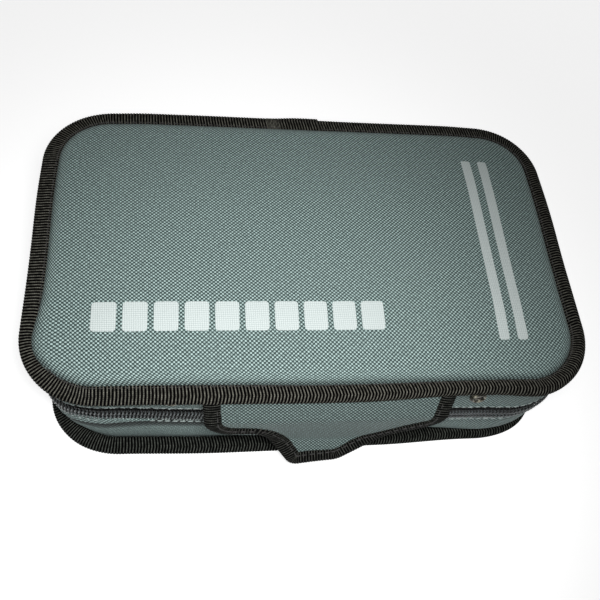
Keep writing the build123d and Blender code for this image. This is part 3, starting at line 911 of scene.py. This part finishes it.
zip_start = zip_end_x
zip_finish = round_length - zip_end_x
for half in halves:
    add_piece(f"{half.name}_wall", wall_cloth(half, zip_start, zip_finish), half.name, "grey_cloth",
              f"{half.name}_wall_cloth")
    add_piece(f"{half.name}_wall_padding", wall_padding(half), half.name, "foam", f"{half.name}_wall_foam",
              thickness=1.6 * MM)

# %% [markdown]
# ## The hinge
#
# There is no metal hinge. The zip stops short of both ends of the back, and between its ends the
# same cloth runs on in one piece from the base to the lid, and when the lid lifts it folds. Here it
# is drawn as it lies with the case closed, on neither half's body.


def back_cloth():
    """The cloth of the back, over the hinge, with its ends tucked under the walls."""
    width = 2 * (zip_end_x + 1.5 * MM)

    def place(u, v):
        z = 4.5 * MM + v * (case_height - 9 * MM)
        half = halves[0] if z < zip_z else halves[1]
        outline, _ = wall_line(half, wall_share(half, z))
        x = (u - 0.5) * width
        swell = 0.9 * MM * abs(math.sin(math.tau * v)) ** 0.8
        crease = -0.5 * MM * bell(z - zip_z, 0, 2.2)
        soft = 0.7 * MM * wave((x, z * 1.5, 0), 26, 21) * math.sin(math.pi * v)
        return settled(Vector((x, outline.centre_y + outline.depth / 2 + swell + crease + soft - 0.1 * MM, z)))

    return grid_form(110, 48, place, lambda u, v: ((0.5 - u) * width, v * 60 * MM), flip=True)


back = add_piece("back_hinge_cloth", back_cloth(), None, "grey_cloth", "base_back_cloth", "lid_back_cloth")
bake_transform(back)

# %% [markdown]
# ## The zip
#
# A coil zip is two long nylon wires, each wound into a flattened spiral and sewn along the edge
# of a knitted tape. Closed, the turns of one spiral sit in the gaps of the other. A grid is
# rolled into a thin tube that follows the spiral: its long side is the wire, its short side
# goes round the wire.

# %% Zip tapes and coils
coil_pitch = 1.5 * MM
wire_radius = 0.42 * MM
coil_depth = 0.8 * MM  # half of a spiral, front to back
coil_rise = 2.1 * MM  # half of a spiral, up and down
coil_offset = 2.4 * MM  # of a spiral's middle from the zip's middle
coil_behind = 0.6 * MM  # of a spiral's middle behind the widest line
turn_steps = 8
wire_sides = 6
tape_behind = 2.9 * MM


def zip_knit(half):
    """One knitted tape, from under the folded cloth to the foot of its coil."""
    length, width = zip_finish - zip_start, 7.8 * MM

    def place(u, v):
        point, outward = beside(widest, zip_start + u * length)
        return settled(point - outward * tape_behind + up_by(zip_z - half.up * (0.7 * MM + v * width)))

    return grid_form(330, 4, place, lambda u, v: (u * length, v * width), flip=half.up > 0)


def zip_spiral(half):
    """One flattened spiral of nylon wire."""
    start, end = zip_start + 1 * MM, zip_finish - 1 * MM
    turns = round((end - start) / coil_pitch)
    offset = 0 if half.up > 0 else 0.5  # so that one spiral's turns sit in the other's gaps

    def centre(share):
        phase = math.tau * (share * turns + offset)
        point, outward = beside(widest, start + share * (end - start) + 0.12 * coil_pitch * math.sin(2 * phase))
        z = zip_z - half.up * coil_offset + coil_rise * math.sin(phase)
        return settled(point + outward * (coil_depth * math.cos(phase) - coil_behind) + up_by(z)), outward

    def place(u, v):
        step = 0.5 / (turns * turn_steps)
        point, outward = centre(u)
        ahead = (centre(min(u + step, 1))[0] - centre(max(u - step, 0))[0]).normalized()
        side = outward - ahead * outward.dot(ahead)
        side = side.normalized() if side.length > 0.02 else up_by(1)
        lift = side.cross(ahead).normalized()
        angle = math.tau * v
        return point + wire_radius * (math.cos(angle) * side + math.sin(angle) * lift)

    # Painted shade over the wire, except on the crowns of the turns that face out. These keep the coil's light colour
    # as a painted highlight.
    def painted_shade(u, v):
        phase = math.tau * (u * turns + offset)
        out = coil_depth * math.cos(phase) + wire_radius * math.cos(math.tau * v)
        return 1 - rise(out, 0.05, 0.85) * smooth_step(abs(math.sin(math.tau * v)), 0.95, 0.2)

    return grid_form(turns * turn_steps, wire_sides, place, lambda u, v: (u * turns * 6 * MM, v * 3 * MM),
                     closed=True, painted_shade=painted_shade)


for half, side in zip(halves, ("lower", "upper")):
    add_piece(f"zip_knit_{side}", zip_knit(half), half.name, "black_tape", f"zip_tape_{side}",
              material=zip_tape_knit, thickness=0.7 * MM)
    add_piece(f"zip_spiral_{side}", zip_spiral(half), half.name, "zip_nylon", f"zip_coil_{side}")

# %% [markdown]
# ## The closing flap
#
# The flap is two layers of cloth over a thin stiffener, bound with the same tape. It is drawn
# flat first: a wide strip that narrows to a tongue. Then it is bent over the front of the case.
# Its angle from upright changes along it, from the bound edge it hangs from, past the wall, and
# out over the base's edge.

# %% The flap's bend
flap_root = Vector((4.0 * MM, -68.5 * MM, 57.4 * MM))
flap_steps = 96
flap_reach = 47.8 * MM


def flap_angle(down):
    """The flap's angle out from upright, at a distance down it."""
    return math.radians(31 - 25 * rise(down, 7.8, 11.8) + 30 * rise(down, 25.4, 30.2))


flap_line = [flap_root.copy()]
for step in range(flap_steps):
    angle = flap_angle((step + 0.5) * flap_reach / flap_steps)
    flap_line.append(flap_line[-1] + Vector((0, -math.sin(angle), -math.cos(angle))) * flap_reach / flap_steps)


def flap_point(x, down, raise_by=0.0):
    """A point of the bent flap: across it, down it and out from its middle layer."""
    place = min(down / flap_reach * flap_steps, flap_steps - 0.001)
    step = max(int(place), 0)
    point = flap_line[step].lerp(flap_line[step + 1], place - step)
    angle = flap_angle(down)
    outward = Vector((0, -math.cos(angle), math.sin(angle)))
    return point + Vector((x, -0.8 * MM, -1.0 * MM)) + outward * raise_by


# %% The flap's outline
def rounded_path(corners, pitch):
    """Points at an even pitch along straight runs joined by arcs. A corner is x, y and a radius."""
    points = [Vector(corners[0][:2])]
    for before, here, after in zip(corners, corners[1:], corners[2:]):
        corner, radius = Vector(here[:2]), here[2]
        back, on = ((Vector(other[:2]) - corner).normalized() for other in (before, after))
        half_angle = back.angle(on) / 2
        middle = corner + (back + on).normalized() * radius / math.sin(half_angle)
        first = corner + back * radius / math.tan(half_angle) - middle
        turn = math.copysign(math.pi - 2 * half_angle, first.cross(on))
        points += [middle + Matrix.Rotation(turn * step / 12, 2) @ first for step in range(13)]
    points.append(Vector(corners[-1][:2]))
    lengths = [(b - a).length for a, b in zip(points, points[1:])]
    count = round(sum(lengths) / pitch)
    even, index, gone = [], 0, 0.0
    for step in range(count + 1):
        target = min(sum(lengths) * step / count, sum(lengths) - 1e-9)
        while gone + lengths[index] < target:
            gone += lengths[index]
            index += 1
        even.append(points[index].lerp(points[index + 1], (target - gone) / lengths[index]))
    return even


flap_top = -3.0 * MM  # the flap's upper end, out of sight under the lid's bound edge
rim_pitch = 0.7 * MM
flap_drawing = (  # in millimetres, from its upper right corner, round the tongue
    (53.4, -3.0, 0), (50.9, 17.5, 12), (33.0, 26.0, 22), (7.2, 41.2, 12),
    (-14.2, 43.4, 6), (-28.6, 22.6, 8), (-51.6, 20.8, 13), (-53.0, -3.0, 0))
flap_rim = rounded_path([tuple(number * MM for number in corner) for corner in flap_drawing], rim_pitch)[::-1]
print("The flap's edge is", round(rim_pitch * (len(flap_rim) - 1) / MM), "mm long")

# %% [markdown]
# The faces are grids whose rows run from one side of the outline to the other, so their sides
# follow it. The padding between them makes the outer face swell a little. The stiffener starts
# below the lid's bound edge, so that the flap can fold up past it. The binding is the same
# flattened section as on the case, smaller, carried round the outline with its middle drawn in
# by half of its width.

# %% The flap's faces and edge
flap_tape_width = 7.9 * MM  # where it is narrowest
flap_tape_height = 3.6 * MM
flap_rib_pitch = 1.25 * MM


def flap_face(raise_by, swell, seed, inset_by=2 * MM, start=flap_top):
    """One layer of the flap, at a distance from its middle and drawn in from its outline."""
    rows = (len(flap_rim) - 1) // 2

    def row_point(u, v, inset_by=0.0):
        index = round(v * rows)
        right, left = flap_rim[len(flap_rim) - 1 - index], flap_rim[index]
        return left.x + inset_by + u * (right.x - left.x - 2 * inset_by), left.y + u * (right.y - left.y)

    def place(u, v):
        x, down = row_point(u, v, inset_by)
        down = max(down - inset_by * smooth_step(v, 0.7, 1), start)
        middle = math.cos((2 * u - 1) * math.pi / 2)
        pillow = swell * middle ** 0.6 * math.sin(math.pi * min(v + 0.15, 1)) ** 0.5
        return flap_point(x, down, raise_by + pillow + 0.5 * MM * wave((x, down, 0), 22, seed) * middle)

    def flat(u, v):
        x, down = row_point(u, v)
        return (x, -down)

    # Every layer of the flap carries an even painted shade, which darkens the finishes that read it.
    form = grid_form(70, rows, place, flat, painted_shade=lambda u, v: 0.4)
    bmesh.ops.dissolve_degenerate(form, edges=form.edges, dist=0.001 * MM)
    return form


def flap_edge():
    """The ribbed tape round the flap, from one end of its root to the other."""
    last = len(flap_rim) - 1
    ribs = round(last * rim_pitch / flap_rib_pitch)

    def place(u, v):
        index = min(int(u * last), last - 1)
        heading = (flap_rim[min(index + 2, last)] - flap_rim[max(index - 1, 0)]).normalized()
        point = flap_rim[index].lerp(flap_rim[index + 1], u * last - index)
        lift = 0.2 * MM * (ribbed(u * ribs) - 0.6)
        width = flap_tape_width + 1.3 * MM * bell(point.y, 24, 10)
        out, up = section(math.tau * v, width / 2 + lift, flap_tape_height / 2 + lift)
        wander = 0.25 * MM * wave((point.x, point.y, 0), 12, 31)
        middle = point + Vector((heading.y, -heading.x)) * (width / 2 + wander - out)
        return flap_point(middle.x, max(middle.y, flap_top), up)

    return grid_form(ribs * columns_per_rib, 16, place, lambda u, v: (u * ribs * rib_pitch, v * 22 * MM), closed=True)


inner_form = flap_face(-1.1 * MM, 0.0, 42)
bmesh.ops.reverse_faces(inner_form, faces=inner_form.faces)
board_form = flap_face(0.3 * MM, 0.0, 43, 4 * MM, 10 * MM)
add_piece("flap_outer_face", flap_face(1.1 * MM, 0.5 * MM, 41), "flap", "grey_cloth", "flap_outer_cloth")
add_piece("flap_inner_face", inner_form, "flap", "black_lining", "flap_inner_cloth")
add_piece("flap_board", board_form, "flap", "board", "flap_stiffener", thickness=0.6 * MM)
add_piece("flap_bound_edge", flap_edge(), "flap", "black_tape", "flap_binding", material=flap_tape)

# %% [markdown]
# ## Press studs
#
# Each stud is a stamped brass cup with a rolled rim, crossed by two spring wires. A round,
# stamped part is one outline turned about its axis, which is what a lathe does and what spin
# does here. The outline starts in the middle of the cup and ends behind the rim.

# %% Stud sockets
stud_outward = Vector((0, -0.9796, 0.2009))
stud_outline = ((0, 0.42), (1.3, 0.42), (1.95, 0.5), (2.1, 0.75), (2.15, 1.15), (2.35, 1.42), (2.75, 1.5),
                (3.15, 1.4), (3.4, 1.1), (3.5, 0.75), (3.8, 0.62), (3.85, 0.35), (3.8, 0.05), (0, 0.05))


def turned(form, outline, centre, axis, steps=40):
    """Adds a solid turned from an outline of radii and heights, in millimetres, about an axis."""
    across = axis.orthogonal().normalized()
    points = [form.verts.new(centre + across * r * MM + axis * h * MM) for r, h in outline]
    edges = [form.edges.new(pair) for pair in zip(points, points[1:])]
    bmesh.ops.spin(form, geom=points + edges, cent=centre, axis=axis, angle=math.tau, steps=steps, use_merge=True)


def spring_pair(form, centre):
    """Adds the two straight wires across a socket."""
    across = Vector((1, 0, 0.35)).cross(stud_outward).normalized()
    wire = across.cross(stud_outward).normalized()
    turn = Matrix((across, stud_outward.cross(wire), wire)).transposed().to_4x4()
    for offset in (-0.95 * MM, 0.95 * MM):
        place = centre + across * offset + stud_outward * 0.95 * MM
        bmesh.ops.create_cone(form, cap_ends=True, segments=10, radius1=0.24 * MM, radius2=0.24 * MM,
                              depth=3.6 * MM, matrix=Matrix.Translation(place) @ turn)


def on_lid_wall(x, z):
    """The point of the lid's front wall at a place across and up."""
    outline, _ = wall_line(halves[1], wall_share(halves[1], z))
    return settled(Vector((x, outline.centre_y - outline.depth / 2, z)))


cups, wires = bmesh.new(), bmesh.new()
for place in stud_places:
    centre = on_lid_wall(*place)
    turned(cups, stud_outline, centre, stud_outward)
    spring_pair(wires, centre)
bmesh.ops.remove_doubles(cups, verts=cups.verts, dist=0.002 * MM)
for form in (cups, wires):
    bmesh.ops.recalc_face_normals(form, faces=form.faces)
add_piece("stud_cups", cups, "lid", "pewter", "stud_sockets", sharp=50)
add_piece("stud_wires", wires, "lid", "spring_steel", "stud_springs", sharp=50)

# %% [markdown]
# ## Stitches
#
# A row of stitches is what tells the eye that cloth is sewn and not moulded. Each stitch is a
# short, fat grain of thread that dips at both ends. There are several hundred, so each has only
# a few faces, and a row is one piece. Cut yarns that stand out of a fold are such grains too.

# %% Rows of stitches
stitch_length = 2.6 * MM
stitch_pitch = 3.3 * MM
thread_radius = 0.28 * MM
noise.seed_set(4)  # cut yarns stray by chance, but the same way each time


def stitch_row(places, length=1.0):
    """One grain of thread at each place. A place is a point, the row's direction and outwards."""
    form = bmesh.new()
    size = Matrix.Diagonal((length * stitch_length / 2, thread_radius, thread_radius, 1))
    for point, ahead, outward in places:
        side = outward.cross(ahead).normalized()
        turn = Matrix((ahead.normalized(), side, ahead.cross(side).normalized())).transposed().to_4x4()
        bmesh.ops.create_uvsphere(form, u_segments=6, v_segments=5, radius=1,
                                  matrix=Matrix.Translation(point) @ turn @ size @ Matrix.Rotation(math.pi / 2, 4, "Y"))
    return form


def along_zip(half, below, pitch):
    """Places at about a pitch along a wall, on a line a distance from the zip's middle."""
    outline, z = wall_line(half, 1 - below / (zip_z - seam_height))
    count = round((zip_finish - zip_start) / pitch)
    for number in range(count):
        yield *beside(outline, zip_start + (number + 0.5) * (zip_finish - zip_start) / count), z


def wall_stitches(half):
    """Places for the row beside a wall's folded edge."""
    for point, outward, z in along_zip(half, window + fold_radius + 0.7 * MM, stitch_pitch):
        if abs(point.x - 4 * MM) >= 46 * MM or point.y >= 0:
            yield settled(point + outward * 0.3 * MM + up_by(z)), leftwards(outward), outward


def frayed_yarns(half):
    """Places for the cut yarns that stand out of a folded edge."""
    for point, outward, z in along_zip(half, window + 0.2 * MM, 1.3 * MM):
        stray = Vector(noise.noise_vector(point / (1.7 * MM)))
        if stray.x + noise.noise(point / (18 * MM)) >= -0.15:
            ahead = (leftwards(outward) + up_by(0.9 * half.up) + stray * 0.5).normalized()
            yield settled(point - outward * 0.1 * MM + up_by(z) + stray * 0.25 * MM), ahead, outward


def binding_stitches(half):
    """Places for the row along a binding, near its inner edge."""
    whole = sum(run_lengths(half.edge))
    count = round(whole / stitch_pitch)
    out, up = section(math.radians(130), binding_width / 2, binding_height / 2)
    for number in range(count):
        point, outward = ring_point(half.edge, station_at(half.edge, (number + 0.5) * whole / count))
        place = point + outward * (out - binding_width / 2 - 0.2 * MM)
        place.z = half.outer_z + half.up * (binding_centre - up - 0.12 * MM)
        yield settled(place), leftwards(outward), up_by(-half.up)


def flap_stitches():
    """Places for the row inside the flap's binding."""
    for first, middle, last in zip(flap_rim[8:-10:5], flap_rim[10:-8:5], flap_rim[12:-6:5]):
        heading = (last - first).normalized()
        inward = Vector((heading.y, -heading.x))
        points = [flap_point(*(middle + inward * 5.6 * MM + heading * step * MM), 1.9 * MM)
                  for step in (-0.5, 0, 0.5)]
        ahead = (points[2] - points[0]).normalized()
        yield points[1], ahead, ahead.cross(Vector((ahead.y, 0, 1))).cross(ahead)


for half in halves:
    for name, places, slot, thread, length in (
            ("wall_stitches", wall_stitches, "grey_cloth", grey_thread, 1.0),
            ("frayed_yarns", frayed_yarns, "grey_cloth", grey_thread, 0.55),
            ("edge_stitches", binding_stitches, "black_tape", black_thread, 1.0)):
        add_piece(f"{half.name}_{name}", stitch_row(places(half), length), half.name, slot, material=thread)
add_piece("flap_stitches", stitch_row(flap_stitches()), "flap", "black_tape", material=black_thread)

# %% [markdown]
# ## Inside the case
#
# Each half holds a moulded foam tray with a fibre flock on it, and thin lining round the wall.
# Moulded foam has no sharp edge. So the frame's own tray solids are copied, their loose
# triangles are merged into whole faces, and every edge is rounded with a bevel.

# %% Rounded trays
def rounded_copy(node, radius, segments=3):
    """A copy of a node's solid with its edges rounded and a layout for the cloth."""
    form = bmesh.new()
    form.from_mesh(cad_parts[node].data)
    bmesh.ops.remove_doubles(form, verts=form.verts, dist=0.01 * MM)
    bmesh.ops.dissolve_limit(form, angle_limit=math.radians(2), verts=form.verts, edges=form.edges)
    sharp = [edge for edge in form.edges if len(edge.link_faces) == 2 and edge.calc_face_angle(0) > 0.6]
    bmesh.ops.bevel(form, geom=sharp, offset=radius, affect="EDGES", segments=segments, profile=0.5, material=-1,
                    clamp_overlap=True)
    bmesh.ops.triangulate(form, faces=[face for face in form.faces if len(face.verts) > 4])
    cut = form.loops.layers.uv.new("cut")
    for face in form.faces:
        main = max(range(3), key=lambda axis: abs(face.normal[axis]))
        for loop in face.loops:
            loop[cut].uv = [loop.vert.co[axis] for axis in range(3) if axis != main]
    return form


for half in halves:
    for part, radius in (("tray_pad", 0.6), ("tray_frame", 1.6), ("tray_dividers", 0.8)):
        node = f"{half.name}_{part}"
        add_piece(f"{node}_flocked", rounded_copy(node, radius * MM), half.name, "tray_foam", node, sharp=40)

# %% Wall lining
lining_depth = 4.1 * MM  # of the lining's face inside the wall's outer face


def wall_lining(half):
    """The thin lining round the inside of a wall, gathered a little, with a rolled hem."""
    foot, hem = (corner.z for corner in corners(f"{half.name}_wall_lining"))
    if half.up < 0:
        foot, hem = hem, foot

    def place(u, v):
        z = foot + (hem - foot) * min(v / 0.92, 1)
        point, outward = beside(wall_line(half, wall_share(half, z))[0], u * round_length)
        inside = lining_depth + 0.35 * MM * wave(point + up_by(z * 0.4), 7, half.seed + 3) * (1 - v)
        if v > 0.92:
            turn = math.pi * (v - 0.92) / 0.08
            inside += 0.35 * MM * (math.cos(turn) - 1)
            z += half.up * 0.35 * MM * math.sin(turn)
        return settled(point - outward * inside + up_by(z))

    return turn_faces(grid_form(360, 22, place, lambda u, v: (u * round_length, v * 20 * MM), closed=True), -1)


for half in halves:
    add_piece(f"{half.name}_inner_wall", wall_lining(half), half.name, "black_lining",
              f"{half.name}_wall_lining", thickness=0.5 * MM)

# %% Strap and patches
def elastic_strap():
    """A flat band in place of the strap, a little thinner at its edges, slack over each instrument."""
    low, high = corners("lid_strap")
    length, width = (high - low).xy

    def place(u, v):
        edge = min(min(v, 1 - v) * width, min(u, 1 - u) * length)
        slack = 0.25 * MM * math.sin(math.pi * 7 * u) ** 2
        return low + Vector((u * length, v * width, 0.3 * MM * (1 - rise(edge, 0, 1.2)) - slack))

    return grid_form(210, 20, place, lambda u, v: (u * length, v * width), flip=True)


def loop_pad():
    """The loop half of the flap's fastening, sewn flat on the base's wall."""
    low, high = corners("base_loop_patch")
    length, height = high.x - low.x, high.z - low.z
    runs = run_lengths(widest)
    start = sum(runs[:4]) + runs[4] / 2 + low.x
    foot, top = ((z - seam_height) / (zip_z - seam_height) / edge_share for z in (low.z, high.z))

    def place(u, v):
        edge = min(min(v, 1 - v) * height, min(u, 1 - u) * length)
        return wall_face(halves[0], start + u * length, foot + v * (top - foot),
                         proud=(0.35 + 0.65 * rise(edge, 0, 1)) * MM)

    return grid_form(60, 24, place, lambda u, v: (u * length, v * height))


add_piece("lid_elastic_strap", elastic_strap(), "lid", "elastic", "lid_strap", thickness=0.7 * MM)
add_piece("base_loop_patch_pile", loop_pad(), "base", "hook_and_loop", "base_loop_patch", thickness=0.9 * MM)
add_piece("flap_hook_patch_pile", rounded_copy("flap_hook_patch", 0.3 * MM), "flap", "hook_and_loop",
          "flap_hook_patch")
add_piece("flap_root_strip", rounded_copy("flap_anchor", 0.8 * MM), "lid", "grey_cloth", "flap_anchor")

# %% [markdown]
# ## The frame's own pieces
#
# Some solids of the frame already have the right shape, such as the zip's sliders, their pulls,
# the stops and the rivets. They stay, and take their finish here by the record's slot names.
# The foam and the boards inside the panels aren't seen, but they get theirs too.

# %% Dress the frame's solids
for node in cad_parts.values():
    for material_slot in node.material_slots:
        material_slot.material = finishes[material_slot.material.name.split(".")[0]]
print("Dressed", len(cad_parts), "solids")

# %% [markdown]
# ## Floor and light
#
# The case stands on white paper under one small lamp close to the lens, turned to the front. So
# the near edge of the lid is brightest, and the far corners are darker. A weak white sky fills
# the shadows. The paper and the sky look plain white to the lens, which is a matter of their
# colour and not of more light on the case.

# %% Floor
def seen_directly(tree):
    """1 for what the lens, a reflection or glass sees, and 0 for light that reaches a surface."""
    path = add_node(tree, "ShaderNodeLightPath").outputs
    either = math_node(tree, "MAXIMUM", path["Is Camera Ray"], path["Is Glossy Ray"])
    return math_node(tree, "MAXIMUM", either, path["Is Transmission Ray"])


paper, tree = start_material("white_paper", Roughness=0.9, Specular_IOR_Level=0.2, Emission_Color=(1, 1, 1, 1))
fibre = grain(tree, object_place(tree), 900.0, 2.0)
feed(tree, Base_Color=blend_colours(tree, fibre, "d9d9d9", "e2e2e2"),
     Emission_Strength=product(tree, seen_directly(tree), 0.78))
form = bmesh.new()
bmesh.ops.create_grid(form, x_segments=1, y_segments=1, size=3.0)
mesh = bpy.data.meshes.new("floor")
form.to_mesh(mesh)
form.free()
mesh.materials.append(paper)
floor = bpy.data.objects.new("floor", mesh)
bpy.context.scene.collection.objects.link(floor)

# %% Sky and lamp
sky = bpy.data.worlds.new("studio")
sky.use_nodes = True
bpy.context.scene.world = sky
background = sky.node_tree.nodes["Background"]
background.inputs["Color"].default_value = (1, 1, 1, 1)
sky_strength = 0.12
direct = math_node(sky.node_tree, "MULTIPLY_ADD", seen_directly(sky.node_tree), 1 - sky_strength, sky_strength)
sky.node_tree.links.new(direct, background.inputs["Strength"])

light = bpy.data.lights.new("lamp_by_the_lens", "SPOT")
light.energy = 3.0
light.spot_size = math.radians(76)
light.spot_blend = 1.0
light.shadow_soft_size = 0.03
lamp = bpy.data.objects.new("lamp_by_the_lens", light)
bpy.context.scene.collection.objects.link(lamp)
lamp.location = (-0.03, -0.14, 0.315)
lit_place = Vector((-0.028, -0.062, 0.065))
lamp.rotation_euler = (lit_place - lamp.location).to_track_quat("-Z", "Y").to_euler()
bpy.context.scene.view_settings.view_transform = "Standard"
